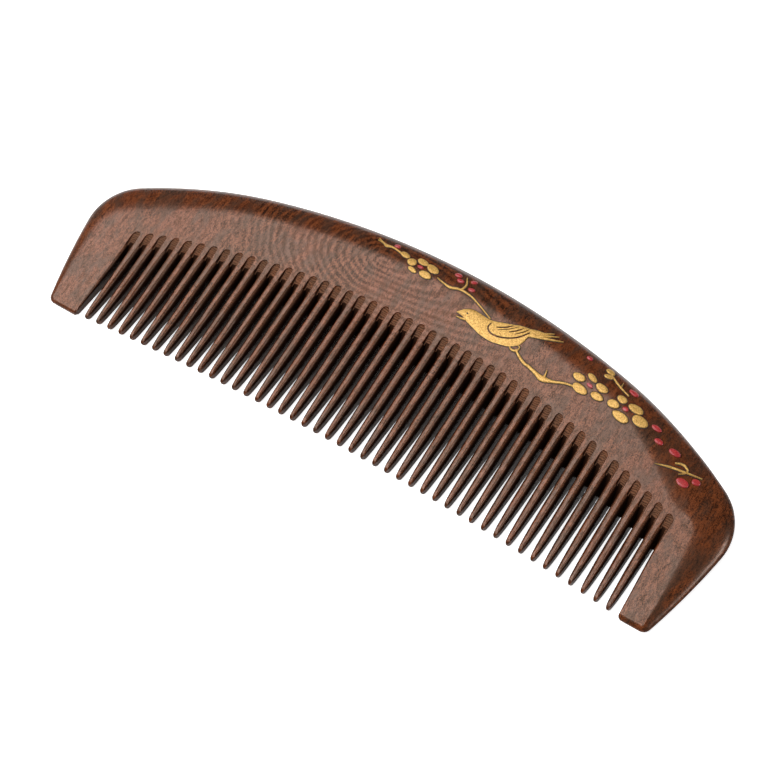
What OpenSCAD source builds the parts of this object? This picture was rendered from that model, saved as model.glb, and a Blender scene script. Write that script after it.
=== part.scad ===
// Fine-tooth hair comb: a crescent of dark wood with 45 teeth, decorated in raised gold and red lacquer.
// The comb lies on its flat back, decorated face up: X runs along the teeth row, +Y towards the spine.

/* [Outline] */
// Overall length of the comb, shoulder to shoulder
comb_l = 164; // [150:1:180]
// Height from the feet of the guard teeth to the crown of the spine
comb_h = 52; // [50:0.5:54]
// Radius of the middle stretch of the spine
spine_r = 192; // [180:1:205]
// Radius of the outer stretches of the spine
haunch_r = 112; // [105:1:118]
// Angle from the crown at which the outer stretch takes over
haunch_a = 14; // [12:0.5:16]
// Radius of the shoulders
shoulder_r = 12.8; // [11:0.2:15]
// Radius of the slightly bowed outer edge of a guard tooth
flank_r = 150; // [120:5:200]
// Distance of a guard tooth's outer foot from the middle of the comb
foot_x = 76.8; // [75.5:0.1:78]
// Radius of a guard tooth's outer foot corner
foot_r = 1.8; // [1.6:0.1:2.4]

/* [Thickness] */
// Thickness at the feet
foot_t = 1.8; // [1.6:0.1:2.2]
// Thickness that the two plane faces reach at the crown
crown_t = 10; // [8.5:0.1:11]
// Width of the round-over along the spine
spine_rim = 7.5; // [6:0.5:8.5]
// Width of the round-over at the feet
foot_rim = 1.2; // [1:0.1:1.4]
// Height above the feet at which the round-over has its full width
rim_full_y = 35; // [32:1:42]

/* [Teeth] */
// Number of fine teeth between the two guard teeth
teeth = 45; // [41:2:45]
// Distance from tooth to tooth
pitch = 3.05; // [2.9:0.01:3.05]
// Shift of the middle tooth from the middle of the comb
row_x = 0.7; // [0:0.1:1]
// Width of the saw kerf between two teeth
kerf = 0.8; // [0.6:0.05:1]
// Height at which the sides of a tooth begin to taper to its tip
taper_y = 17; // [15:0.5:18]
// Radius of a tooth's rounded tip
tip_r = 0.48; // [0.4:0.02:0.6]
// Height of the end teeth's tips above the feet
tip_y = 0.3; // [0.2:0.1:0.6]
// How much higher the middle teeth's tips are
tip_rise = 2.9; // [2:0.1:4]
// How much wider the end slots are at the feet than one kerf
end_flare = 0.7; // [0.3:0.1:0.8]

/* [Slots] */
// Height of the middle slot's top on the decorated face
root_y = 35.1; // [33:0.1:36]
// Radius of the arch on which the slot tops lie
root_r = 212; // [200:2:230]
// Width of the flat ridge left along each tooth
ridge = 0.9; // [0.7:0.05:1.1]
// Depth of the groove that eases the tooth edges
ease_d = 1; // [0.7:0.05:1.1]
// Slope of the groove's run-out above the kerf, from the face
ramp_a = 18; // [15:1:24]
// Length of the run-out above the kerf, on the decorated face
ramp_l = 2.6; // [2:0.1:3]
// Lean of the kerf's end, from square to the comb
kerf_lean = 38; // [30:1:42]
// Height of the middle groove's top on the back
back_top = 29.8; // [28:0.1:31]
// Slope of the bevels on the tooth tips, as run per rise
tip_bevel = 1.6; // [1.2:0.1:2.5]
// Half thickness left at the very tip of a tooth
tip_land = 0.45; // [0.3:0.05:0.6]

/* [Lacquer] */
// Gap between the wood and the lacquer
lacquer_gap = 0.05; // [0.03:0.01:0.1]
// Height of the raised lacquer
lacquer_t = 0.3; // [0.2:0.05:0.4]

/* [Hidden] */
$fn = 90;
wood = [0.27, 0.14, 0.09];
gold = [0.85, 0.66, 0.32];
red = [0.72, 0.12, 0.16];

face_a = atan((crown_t - foot_t) / 2 / comb_h);
row_half = (teeth + 1) / 2 * pitch;
tip_arch_r = (pow(row_half, 2) + pow(tip_rise, 2)) / (2 * tip_rise);
shank = (pitch - kerf) / 2;
comb_t = max(crown_t, foot_t);
// The slope of the easing groove's sides goes on past the kerf's edges, until the groove is half as wide
// as the kerf, and past the face.
groove_w = pitch - ridge;
groove_slope = (groove_w - kerf) / 2 / ease_d;
groove_d = ease_d + kerf / 4 / groove_slope;
over_face = 0.3;
over_w = groove_w / 2 + over_face * groove_slope;
fine = 720;
far = 60;

// Each outline arc is [centre, radius, start angle, end angle, steps], with angles from +Y towards +X.
spine_c = [0, comb_h - spine_r];
haunch_c = spine_c + (spine_r - haunch_r) * [sin(haunch_a), cos(haunch_a)];
shoulder_x = comb_l / 2 - shoulder_r;
shoulder_c = [shoulder_x,
              haunch_c.y + sqrt(pow(haunch_r - shoulder_r, 2) - pow(shoulder_x - haunch_c.x, 2))];
flank_c = inner_centre(shoulder_c, flank_r - shoulder_r, [foot_x, 0], flank_r);
corner_c = [flank_c.x + sqrt(pow(flank_r - foot_r, 2) - pow(foot_r - flank_c.y, 2)), foot_r];
arcs = [
    [spine_c, spine_r, 0, haunch_a, 6],
    [haunch_c, haunch_r, haunch_a, turn(haunch_c, shoulder_c), 6],
    [shoulder_c, shoulder_r, turn(haunch_c, shoulder_c), turn(flank_c, shoulder_c), 8],
    [flank_c, flank_r, turn(flank_c, shoulder_c), turn(flank_c, corner_c), 3],
    [corner_c, foot_r, turn(flank_c, corner_c), 180, 4],
];
right_side = [for (a = arcs) for (i = [1:a[4]]) station(a, i / a[4])];
left_side = [for (i = [len(right_side) - 1:-1:0]) mirrored(right_side[i])];
stations = concat([station(arcs[0], 0)], right_side, left_side);
rim_angles = [-90, -68, -46, -24, 0, 24, 46, 68, 90];

// Angle, from +Y towards +X, of the direction from a to b
function turn(a, b) = atan2(b.x - a.x, b.y - a.y);

// Point on the left of a and b, at distance ra from a and rb from b
function inner_centre(a, ra, b, rb) =
    let (d = norm(b - a), u = (b - a) / d, s = (ra * ra - rb * rb + d * d) / (2 * d))
    a + s * u + sqrt(ra * ra - s * s) * [u.y, -u.x];

// A station is [x, y, angle of the outward normal].
function station(arc, f) =
    let (a = arc[2] + f * (arc[3] - arc[2]))
    [arc[0].x + arc[1] * sin(a), arc[0].y + arc[1] * cos(a), a];
function mirrored(s) = [-s[0], s[1], -s[2]];

// Half thickness of the two plane faces, and width of the round-over, at height y
function half_t(y) = foot_t / 2 + tan(face_a) * y;
function rim_w(y) = foot_rim + (spine_rim - foot_rim) * min(max(y / rim_full_y, 0), 1);

// Point of the round-over at one station, where t is -90 on the back, 0 on the edge and 90 on the face
function rim_point(s, t, grow) =
    let (inset = rim_w(s[1]) * (1 - cos(t)) - grow,
         x = s[0] - inset * sin(s[2]),
         y = s[1] - inset * cos(s[2]))
    [x, y, (half_t(y) + grow) * sin(t)];

// Lays the comb, drawn upright about its middle plane, down on its back.
module lay() {
    translate([0, -comb_h / 2 * cos(face_a), foot_t / 2 * cos(face_a)])
        rotate([face_a, 0, 0])
            children();
}

// The uncut comb, with its whole surface moved outwards by grow
module blank(grow = 0) {
    n = len(stations);
    last = len(rim_angles) - 1;
    polyhedron(
        points = [for (t = rim_angles) for (s = stations) rim_point(s, t, grow)],
        faces = concat(
            [[for (i = [n - 1:-1:0]) i]],
            [[for (i = [0:n - 1]) last * n + i]],
            [for (r = [0:last - 1]) for (i = [0:n - 1])
                [(r + 1) * n + i, r * n + i, r * n + (i + 1) % n]],
            [for (r = [0:last - 1]) for (i = [0:n - 1])
                [(r + 1) * n + i, r * n + (i + 1) % n, (r + 1) * n + (i + 1) % n]]),
        convexity = 6);
}

// Height of a tooth's tip at distance x from the middle tooth
function tip_top(x) = tip_y + tip_rise - (tip_arch_r - sqrt(tip_arch_r * tip_arch_r - x * x));

// One tooth seen square on: a straight shank that tapers to a round tip
module tooth_plan(x) {
    end = tip_top(x) + tip_r;
    translate([x, 0]) {
        polygon([[-tip_r, end], [tip_r, end], [shank, taper_y], [shank, comb_h], [-shank, comb_h],
                 [-shank, taper_y]]);
        translate([0, end])
            circle(tip_r);
    }
}

// Everything between the guard teeth that the saw takes away, seen square on
module gaps_plan() {
    inner = row_half + kerf / 2;
    difference() {
        polygon([[-inner - end_flare, -5], [inner + end_flare, -5], [inner + end_flare, 0],
                 [inner, taper_y], [inner, comb_h], [-inner, comb_h], [-inner, taper_y],
                 [-inner - end_flare, 0]]);
        for (i = [0:teeth - 1])
            tooth_plan((i - (teeth - 1) / 2) * pitch);
    }
}

// A cylinder that leans by a from square to the comb, cut off by the arch of radius r whose crown passes
// through the point (y, z)
module leaning_arch(y, z, r, a) {
    translate([0, y, z])
        rotate([-a, 0, 0])
            translate([0, -r / cos(a), 0])
                cylinder(r = r / cos(a), h = 2 * far / cos(a), center = true, $fn = fine);
}

// The kerfs, whose ends lean so that they reach higher on the decorated face
module kerfs() {
    top = root_y - ramp_l;
    intersection() {
        linear_extrude(2 * comb_t, center = true)
            gaps_plan();
        leaning_arch(top, half_t(top) - ramp_l * tan(ramp_a), root_r, kerf_lean);
    }
}

// Grooves on the decorated face that ease the edges of the teeth and run out above the kerfs
module easing(top) {
    intersection() {
        for (i = [0:teeth])
            translate([(i - teeth / 2) * pitch, 0, foot_t / 2])
                rotate([90 + face_a, 0, 0])
                    linear_extrude(2 * far, center = true)
                        polygon([[-kerf / 4, -groove_d], [kerf / 4, -groove_d], [over_w, over_face],
                                 [-over_w, over_face]]);
        leaning_arch(top, half_t(top), root_r, 90 - face_a - ramp_a);
    }
}

// The notch that bevels the tips of the teeth towards both faces, all along their arch
module tip_notch() {
    apex = tip_arch_r - tip_bevel * tip_land;
    intersection() {
        translate([0, tip_y + tip_rise - tip_arch_r, 0])
            rotate_extrude($fn = fine)
                polygon([[apex, 0], [apex + tip_bevel * comb_t, comb_t], [apex - comb_t, comb_t],
                         [apex - comb_t, -comb_t], [apex + tip_bevel * comb_t, -comb_t]]);
        cube([2 * row_half, 2 * far, 2 * comb_t], center = true);
    }
}

module comb() {
    color(wood)
        lay()
            difference() {
                blank();
                translate([row_x, 0, 0]) {
                    kerfs();
                    easing(root_y);
                    mirror([0, 0, 1])
                        easing(back_top);
                    tip_notch();
                }
            }
}

// A closed oval of the lacquer, with half widths rx and ry
module oval(x, y, rx, ry) {
    translate([x, y])
        polygon([for (t = [0:30:330]) [rx * cos(t), ry * sin(t)]]);
}

// A line of lacquer through points [x, y, width], straight from point to point
module stroke(points) {
    for (i = [1:len(points) - 1]) {
        a = points[i - 1];
        b = points[i];
        side = [a.y - b.y, b.x - a.x] / norm([b.x - a.x, b.y - a.y]) / 2;
        polygon([[a.x, a.y] + side * a.z, [a.x, a.y] - side * a.z,
                 [b.x, b.y] - side * b.z, [b.x, b.y] + side * b.z]);
        if (i > 1)
            translate([a.x, a.y])
                circle(a.z / 2, $fn = 12);
    }
}

// Lays a flat drawing on the decorated face as a raised layer that follows the surface.
module raised() {
    lay()
        intersection() {
            linear_extrude(comb_t)
                children();
            difference() {
                blank(lacquer_gap + lacquer_t);
                blank(lacquer_gap);
            }
        }
}

module gold_twigs() {
    color(gold)
        raised() {
            stroke([[-18, 48.4, 0.2], [-16.2, 47.8, 0.4], [-15.3, 47.5, 0.8], [-13.8, 47.8, 0.5],
                    [-11.6, 47.3, 0.4]]);
            stroke([[-0.9, 45.9, 0.3], [1, 45.5, 0.35], [2.8, 45.3, 0.7], [5, 45.9, 0.6],
                    [8, 45.6, 0.5], [11, 44.8, 0.4], [14.6, 43.5, 0.4]]);
            stroke([[5.4, 46.1, 0.6], [5.5, 47.5, 0.5], [4.5, 49.3, 0.35]]);
            stroke([[23.2, 39.4, 0.5], [25, 38.2, 0.7], [27, 38, 0.6], [29, 37.2, 0.8],
                    [31.2, 36.4, 1.4], [33.5, 37, 0.7], [37, 38.1, 0.45]]);
            stroke([[31.9, 36.9, 0.6], [31.4, 38.3, 0.25]]);
            stroke([[43.5, 44.4, 0.3], [46, 43, 0.4], [48.7, 42, 0.3]]);
            stroke([[46.6, 42.9, 0.3], [46.4, 43.9, 0.2]]);
            stroke([[61.2, 31.6, 0.2], [64, 32.4, 0.5], [67, 33, 0.5], [70.4, 33.7, 0.35]]);
            stroke([[64.6, 33.6, 0.4], [65.9, 34.2, 0.6], [67.2, 33.8, 0.5], [67.4, 33.1, 0.4]]);
            oval(-10.3, 47.45, 1.1, 0.65);
            oval(42.7, 45.1, 1.1, 0.6);
            oval(43.1, 43.7, 1.1, 0.55);
        }
}

module gold_bird() {
    color(gold)
        raised()
            polygon([[7.4, 41.2], [8.3, 42.5], [9.6, 43], [12.5, 43], [15.5, 43], [18.2, 43.8],
                     [20, 44.5], [22.5, 45.1], [25, 45.8], [27.7, 46.7], [29, 46.6], [30.5, 46.1],
                     [27.6, 45], [25, 44], [23.6, 43.4], [23.3, 41.5], [22.8, 40.4], [21, 39.6],
                     [19, 38.8], [17, 38.6], [15, 39], [12, 39.7], [9.6, 40.2], [7.8, 40.4],
                     [9.3, 40.9]]);
}

module gold_petals() {
    // Each petal is [x, y, half length, half width].
    first = [[-8, 46.6, 1.05, 0.85], [-6, 47.8, 1.2, 0.75], [-3, 47.3, 1.5, 0.9],
             [-3.7, 45.25, 1.5, 0.85], [-6.9, 45, 1.1, 0.5]];
    second = [[37.9, 40.5, 1.5, 0.9], [40.4, 41.7, 1.3, 0.7], [43.3, 40.6, 1.5, 0.9],
              [43.3, 38.5, 1.5, 0.8], [39.3, 38.3, 1.7, 1]];
    third = [[48.2, 40.5, 1.2, 0.75], [47.1, 38.7, 1.3, 0.9], [51.7, 40, 1.6, 0.95],
             [53.8, 38, 1.9, 1.15], [49.8, 36.9, 2, 0.95]];
    color(gold)
        raised()
            for (p = concat(first, second, third))
                oval(p[0], p[1], p[2], p[3]);
}

module red_buds() {
    // Each bud is [x, y, half length, half width].
    buds = [[-13.2, 48.6, 0.7, 0.5], [2.6, 48.9, 0.9, 0.6], [3.8, 47.8, 0.9, 0.5],
            [6.5, 49.1, 0.7, 0.5], [7.2, 47, 0.8, 0.5], [37.4, 45.6, 0.8, 0.5],
            [49.4, 43.2, 1.2, 0.6], [57.4, 38.5, 1.2, 0.65], [59.3, 36.1, 1, 0.6],
            [63.2, 35.7, 1.35, 0.75], [67.8, 30.7, 1.5, 0.85], [70, 32.3, 0.9, 0.75]];
    hearts = [[-5.6, 46.4, 0.7, 0.4], [40.8, 39.9, 0.8, 0.45], [49.9, 38.9, 0.7, 0.5]];
    color(red)
        raised()
            for (b = concat(buds, hearts))
                oval(b[0], b[1], b[2], b[3]);
}

comb();
gold_twigs();
gold_bird();
gold_petals();
red_buds();
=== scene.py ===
import math

import bmesh
import bpy
from mathutils import Matrix, Vector


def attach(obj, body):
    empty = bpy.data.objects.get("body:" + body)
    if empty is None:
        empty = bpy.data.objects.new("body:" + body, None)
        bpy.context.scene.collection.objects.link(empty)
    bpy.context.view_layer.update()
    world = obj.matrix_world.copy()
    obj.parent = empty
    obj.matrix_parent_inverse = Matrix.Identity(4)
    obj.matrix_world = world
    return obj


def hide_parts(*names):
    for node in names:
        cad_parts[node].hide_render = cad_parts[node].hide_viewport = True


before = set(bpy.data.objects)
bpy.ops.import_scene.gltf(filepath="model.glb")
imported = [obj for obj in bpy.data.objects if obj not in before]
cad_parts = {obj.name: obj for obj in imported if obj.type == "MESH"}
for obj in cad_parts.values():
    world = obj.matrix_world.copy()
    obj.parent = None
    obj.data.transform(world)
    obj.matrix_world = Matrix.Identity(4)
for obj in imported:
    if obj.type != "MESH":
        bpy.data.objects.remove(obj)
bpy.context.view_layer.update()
print("frame loaded:", ", ".join(sorted(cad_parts)))

# The comb is modelled upright in millimetres: x along the row of teeth from the comb's middle, y up from the
# feet of the guard teeth, z out of the decorated face from the middle of the thickness.
combShape = {
    "length": 164.0,
    "height": 52.0,
    "spineRadius": 192.0,
    "haunchRadius": 112.0,
    "haunchAngle": 14.0,
    "shoulderRadius": 12.8,
    "flankRadius": 150.0,
    "footX": 76.8,
    "footRadius": 1.8,
    "footThickness": 1.8,
    "crownThickness": 10.0,
    "spineRim": 7.5,
    "leftRim": 1.9,            # how much wider the rim is at the left end
    "rightRim": 3.8,           # the same at the right end
    "rightBevel": 0.28,        # how much more the rim at the right end is like a bevel
    "endStart": 52.0,          # how far from the middle the rim starts to change towards an end
    "endReach": 20.0,          # over what length it changes
    "footRim": 1.2,
    "rimFullHeight": 35.0,
    "arcSteps": (30, 20, 14, 10, 6),   # spine, haunch, shoulder, flank, foot corner
    "rimSteps": 20,
}

slotShape = {
    "teeth": 45,
    "pitch": 3.05,
    "rowShift": 0.7,
    "taperHeight": 17.0,
    "tipHeight": 3.2,          # of the middle tooth, above the feet
    "tipRise": 2.9,            # how much lower the end teeth reach
    "guardFlare": 0.7,
    "guardCorner": 1.0,
    "guardRounding": 1.0,
    "guardMost": 0.55,         # the guard's rounding is at most this share of half the thickness
    "guardRidge": 0.62,        # how far it reaches along the face, as a share of its depth
    "rootHeight": 35.1,
    "rootRadius": 212.0,
    "rampLength": 2.9,
    "rampSlope": 11.0,
    "kerfLean": 38.0,
    "backRootHeight": 30.2,
    # a tooth's section: height above its tip, half width, half width of the ridge, depth of the rounding
    "toothSections": (
        (0.06, 0.18, 0.03, 1.0), (0.2, 0.32, 0.04, 1.0), (0.45, 0.45, 0.05, 1.0), (0.85, 0.56, 0.06, 1.05),
        (1.7, 0.68, 0.08, 1.15), (3.0, 0.79, 0.1, 1.3), (5.5, 0.91, 0.12, 1.45), (8.8, 1.03, 0.13, 1.6),
        (12.0, 1.1, 0.15, 1.75),
    ),
    "shankSection": (1.125, 0.16, 1.8),
    "neckSection": (1.125, 0.3, 1.8),
    "rootSection": (1.125, 0.6, 1.8),
    "closedSection": (-0.05, -0.051, 0.05),    # below the tips, where neighbouring kerfs meet
    "backShare": 0.45,         # of the rounding in front
    "roundAngles": (75, 60, 45, 30, 15, 0),
    "leastFlat": 0.06,         # half of what the roundings leave of a tooth's side
}

# the tools that cut the kerfs and the run-outs
cutterShape = {
    "over": 0.12,              # how far a kerf's cutter stands out of the face
    "spread": 0.22,            # how much wider it is there
    "neckDrop": 2.2,           # from the top of the kerf down to the neck
    "neckLean": 0.75,          # the neck's share of the kerf's lean
    "sink": 0.18,              # how far the kerf's top stays below the run-out's floor
    "tipGap": 0.02,            # from a tooth's tip down to where the cutter closes
    "cornerHeights": (1.0, 0.75, 0.55, 0.12, 0.02),    # rings for the guard's corner
    "ringsApart": 0.08,        # the least distance of such a ring from another
    "foot": -1.5,              # where the cutter ends, below the feet
    "archStart": 3.0,          # above the taper the cutter follows the arch of the roots
    "tipMargin": 0.03,         # how far below a tip it still follows the arch of the tips
    # the run-outs, with rings by their distance down from the top
    "runOutRings": (-0.4, 0.0, 0.05, 0.14, 0.28, 0.46, 0.7, 1.05, 1.5),
    "runOutHalf": 0.92,        # half width on the face
    "floorHalf": 0.74,         # half width of the floor
    "runOutRound": 1.05,       # how far the round top reaches
    "topWidth": (0.08, 0.92),  # width at the very top, and what the round adds to it
    "lip": 0.2,                # how deep the floor drops at once below the top
    "lipReach": 0.14,          # over what distance it does
    "floorLift": 0.02,         # starts the floor a little above the face
    # share of a half width, then height over the face, or on the wall and the floor the share of the depth
    "aboveFace": ((1.12, 0.2), (1.02, 0.03)),
    "wall": ((0.97, 0.2),),
    "floor": ((1.07, 0.8), (0.93, 1.0)),
    "frontOverlap": 0.8,       # how far a run-out in front reaches into its kerf
    "backLength": 3.6,
}

# the bars that round the tips
tipShape = {
    "length": 2.4,             # of the rounding, up from the tip
    "angles": (10, 20, 32, 45, 60, 75),
    "steps": 24,               # along the row
    "rowShare": 0.999,         # the bar's length as a share of the row's
    "below": 1.2,              # where the bar starts, below the tips
    "edge": 0.001,             # keeps its inner edge just below the tips
    "over": 0.1,               # where the hollow ends, outside the face
    "outside": 1.0,
}

cleaning = {
    "mergeWithin": 0.002,      # millimetres
    "crumbFaces": 12,          # the most faces that a crumb has
}

faceSlope = (combShape["crownThickness"] - combShape["footThickness"]) / 2 / combShape["height"]
faceAngle = math.atan(faceSlope)
rowHalf = (slotShape["teeth"] + 1) / 2 * slotShape["pitch"]
tipArch = (rowHalf ** 2 + slotShape["tipRise"] ** 2) / (2 * slotShape["tipRise"])


def halfThickness(y):
    return combShape["footThickness"] / 2 + faceSlope * y


# from 0 along the spine to 1 at the right end, and for -x at the left end
def endShare(x):
    return min(max((x - combShape["endStart"]) / combShape["endReach"], 0), 1)


def rimWidth(x, y):
    share = min(max(y / combShape["rimFullHeight"], 0), 1)
    wide = (combShape["spineRim"] + combShape["rightRim"] * endShare(x)
            + combShape["leftRim"] * endShare(-x))
    return combShape["footRim"] + (wide - combShape["footRim"]) * share


def archDrop(radius, x):
    return radius - math.sqrt(radius ** 2 - x ** 2)


# lays what was modelled upright in millimetres down on its back, in metres
layDown = (Matrix.Translation((0, -combShape["height"] / 2 * math.cos(faceAngle) / 1000,
                               combShape["footThickness"] / 2 * math.cos(faceAngle) / 1000))
           @ Matrix.Rotation(faceAngle, 4, "X") @ Matrix.Scale(0.001, 4))


def pick(piece):
    if bpy.context.mode != "OBJECT":
        bpy.ops.object.mode_set(mode="OBJECT")
    bpy.ops.object.select_all(action="DESELECT")
    piece.select_set(True)
    bpy.context.view_layer.objects.active = piece


# A filled ring is placed, then extruded again and again, and each new ring is moved to its own outline.
def loft(name, rings):
    bpy.ops.object.select_all(action="DESELECT")
    bpy.ops.mesh.primitive_circle_add(vertices=len(rings[0]), radius=1, fill_type="NGON")
    piece = bpy.context.object
    piece.name = name
    pick(piece)
    bpy.ops.object.mode_set(mode="EDIT")
    bpy.ops.mesh.select_all(action="SELECT")
    mesh = bmesh.from_edit_mesh(piece.data)
    seat = mesh.verts.layers.int.new("seat")
    mesh.verts.ensure_lookup_table()
    for number, vertex in enumerate(mesh.verts):
        vertex[seat] = number
        vertex.co = rings[0][number]
    bmesh.update_edit_mesh(piece.data)
    for ring in rings[1:]:
        bpy.ops.mesh.extrude_region_move()
        mesh = bmesh.from_edit_mesh(piece.data)
        seat = mesh.verts.layers.int["seat"]
        for vertex in mesh.verts:
            if vertex.select:
                vertex.co = ring[vertex[seat]]
        bmesh.update_edit_mesh(piece.data)
    bpy.ops.mesh.select_all(action="SELECT")
    bpy.ops.mesh.normals_make_consistent(inside=False)
    bpy.ops.object.mode_set(mode="OBJECT")
    piece.data.attributes.remove(piece.data.attributes["seat"])
    return piece


def copyOf(piece, name):
    other = piece.copy()
    other.data = piece.data.copy()
    other.name = name
    bpy.context.collection.objects.link(other)
    return other


def combine(piece, tool, operation, solver="MANIFOLD"):
    pick(piece)
    bpy.ops.object.modifier_add(type="BOOLEAN")
    cut = piece.modifiers[-1]
    cut.object = tool
    cut.operation = operation
    cut.solver = solver
    bpy.ops.object.modifier_apply(modifier=cut.name)
    bpy.data.objects.remove(tool, do_unlink=True)


def joined(parts, name):
    pick(parts[0])
    for part in parts:
        part.select_set(True)
    bpy.ops.object.join()
    whole = bpy.context.object
    whole.name = name
    whole.data.name = name
    return whole


# Merges what the cuts left together and drops the crumbs they left apart.
def dropCrumbs(piece):
    name = piece.name
    pick(piece)
    bpy.ops.object.mode_set(mode="EDIT")
    bpy.ops.mesh.select_all(action="SELECT")
    bpy.ops.mesh.remove_doubles(threshold=cleaning["mergeWithin"])
    bpy.ops.mesh.separate(type="LOOSE")
    bpy.ops.object.mode_set(mode="OBJECT")
    parts = sorted(bpy.context.selected_objects, key=lambda part: len(part.data.polygons), reverse=True)
    kept = [part for part in parts if len(part.data.polygons) > cleaning["crumbFaces"]]
    for crumb in parts[len(kept):]:
        bpy.data.objects.remove(crumb, do_unlink=True)
    return joined(kept, name)


# The outline as (x, y, outward x, outward y), clockwise from the crown.
def combOutline():
    shape = combShape
    spine = Vector((0, shape["height"] - shape["spineRadius"]))
    lean = math.radians(shape["haunchAngle"])
    haunch = spine + (shape["spineRadius"] - shape["haunchRadius"]) * Vector((math.sin(lean), math.cos(lean)))
    shoulderX = shape["length"] / 2 - shape["shoulderRadius"]
    reach = shape["haunchRadius"] - shape["shoulderRadius"]
    shoulder = Vector((shoulderX, haunch.y + math.sqrt(reach ** 2 - (shoulderX - haunch.x) ** 2)))
    foot = Vector((shape["footX"], 0))
    near, far = shape["flankRadius"] - shape["shoulderRadius"], shape["flankRadius"]
    way = foot - shoulder
    along = way.normalized()
    step = (near ** 2 - far ** 2 + way.length ** 2) / (2 * way.length)
    flank = shoulder + along * step + math.sqrt(near ** 2 - step ** 2) * Vector((along.y, -along.x))
    cornerReach = math.sqrt((far - shape["footRadius"]) ** 2 - (shape["footRadius"] - flank.y) ** 2)
    corner = Vector((flank.x + cornerReach, shape["footRadius"]))

    def turn(a, b):
        return math.atan2(b.x - a.x, b.y - a.y)

    arcs = ((spine, shape["spineRadius"], 0, lean),
            (haunch, shape["haunchRadius"], lean, turn(haunch, shoulder)),
            (shoulder, shape["shoulderRadius"], turn(haunch, shoulder), turn(flank, shoulder)),
            (flank, shape["flankRadius"], turn(flank, shoulder), turn(flank, corner)),
            (corner, shape["footRadius"], turn(flank, corner), math.pi))
    right = []
    for (centre, radius, start, end), steps in zip(arcs, shape["arcSteps"]):
        for number in range(1, steps + 1):
            angle = start + (end - start) * number / steps
            out = Vector((math.sin(angle), math.cos(angle)))
            at = centre + radius * out
            right.append((at.x, at.y, out.x, out.y))
    crown = (0, shape["height"], 0, 1)
    left = [(-x, y, -outX, outY) for x, y, outX, outY in reversed(right)]
    return [crown] + right + left


def makeBlank():
    outline = combOutline()
    rings = []
    for number in range(combShape["rimSteps"] + 1):
        turn = math.pi * (number / combShape["rimSteps"] - 0.5)
        ring = []
        for x, y, outX, outY in outline:
            power = 1 + combShape["rightBevel"] * endShare(x)
            inset = rimWidth(x, y) * (1 - math.cos(turn) ** power)
            x, y = x - inset * outX, y - inset * outY
            ring.append((x, y, halfThickness(y) * math.copysign(abs(math.sin(turn)) ** power, turn)))
        rings.append(ring)
    return loft("woodenComb", rings)


# One side of a gap's section, from the front to the back, beside a tooth of this section. The teeth are
# rounded less at the back.
def gapSide(tooth, half):
    toothHalf, ridgeHalf, rounding = tooth
    wall = slotShape["pitch"] / 2 - toothHalf
    sides = []
    for share in (1, slotShape["backShare"]):
        deep = min(rounding * share, half - slotShape["leastFlat"])
        reach = (toothHalf - ridgeHalf) * share
        side = [(wall + reach + cutterShape["spread"], half + cutterShape["over"])]
        for degrees in slotShape["roundAngles"]:
            turn = math.radians(degrees)
            side.append((wall + reach * (1 - math.cos(turn)), half - deep + deep * math.sin(turn)))
        sides.append(side)
    return sides[0] + [(x, -z) for x, z in reversed(sides[1])]


def gapRing(y, right, left, lean=0, leanFrom=0):
    half = halfThickness(y)
    ring = []
    for side, sign in ((gapSide(right, half), 1), (list(reversed(gapSide(left, half))), -1)):
        for x, z in side:
            ring.append((sign * x, y - (leanFrom - z) * lean, z))
    return ring


# The guard's side leans away from the row towards the feet and rounds off at the corner.
def guardSide(y, flareStart):
    flare = slotShape["guardFlare"] * max(flareStart - y, 0) / flareStart
    wall = slotShape["pitch"] / 2 - slotShape["rootSection"][0] + flare
    corner = slotShape["guardCorner"]
    if y < corner:
        wall += corner - math.sqrt(corner ** 2 - (corner - max(y, 0)) ** 2)
    rounding = min(slotShape["guardRounding"], halfThickness(y) * slotShape["guardMost"])
    guardHalf = slotShape["pitch"] / 2 - wall
    return guardHalf, guardHalf - slotShape["guardRidge"] * rounding, rounding


def toothSection(above):
    last = slotShape["toothSections"][0]
    for row in slotShape["toothSections"]:
        if above <= row[0]:
            share = (above - last[0]) / max(row[0] - last[0], 1e-6)
            return [old + (new - old) * share for old, new in zip(last[1:], row[1:])]
        last = row
    return last[1:]


# tip is the height of the neighbouring tooth's tip above the feet
def gapKerf(name, tip, guard):
    top = slotShape["rootHeight"] - slotShape["rampLength"]
    lean = math.tan(math.radians(slotShape["kerfLean"]))
    rampDrop = slotShape["rampLength"] * math.tan(math.radians(slotShape["rampSlope"]))
    floor = halfThickness(top) - rampDrop - cutterShape["sink"]
    shankStart = tip + slotShape["taperHeight"] - slotShape["tipHeight"]
    closed = slotShape["closedSection"]
    neck = top - cutterShape["neckDrop"]

    def ring(y, tooth, *leaning):
        return gapRing(y, tooth, guardSide(y, shankStart) if guard else tooth, *leaning)

    heights = [tip + row[0] for row in slotShape["toothSections"]] + [tip - cutterShape["tipGap"]]
    if guard:
        heights += [y for y in cutterShape["cornerHeights"]
                    if min(abs(y - other) for other in heights) > cutterShape["ringsApart"]]
    rings = [ring(top, slotShape["rootSection"], lean, floor),
             ring(neck, slotShape["neckSection"], lean * cutterShape["neckLean"], floor),
             ring(shankStart, slotShape["shankSection"])]
    for y in sorted(heights, reverse=True):
        rings.append(ring(y, toothSection(y - tip) if y > tip else closed))
    rings.append(ring(cutterShape["foot"], closed))
    return loft(name, rings)


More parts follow.
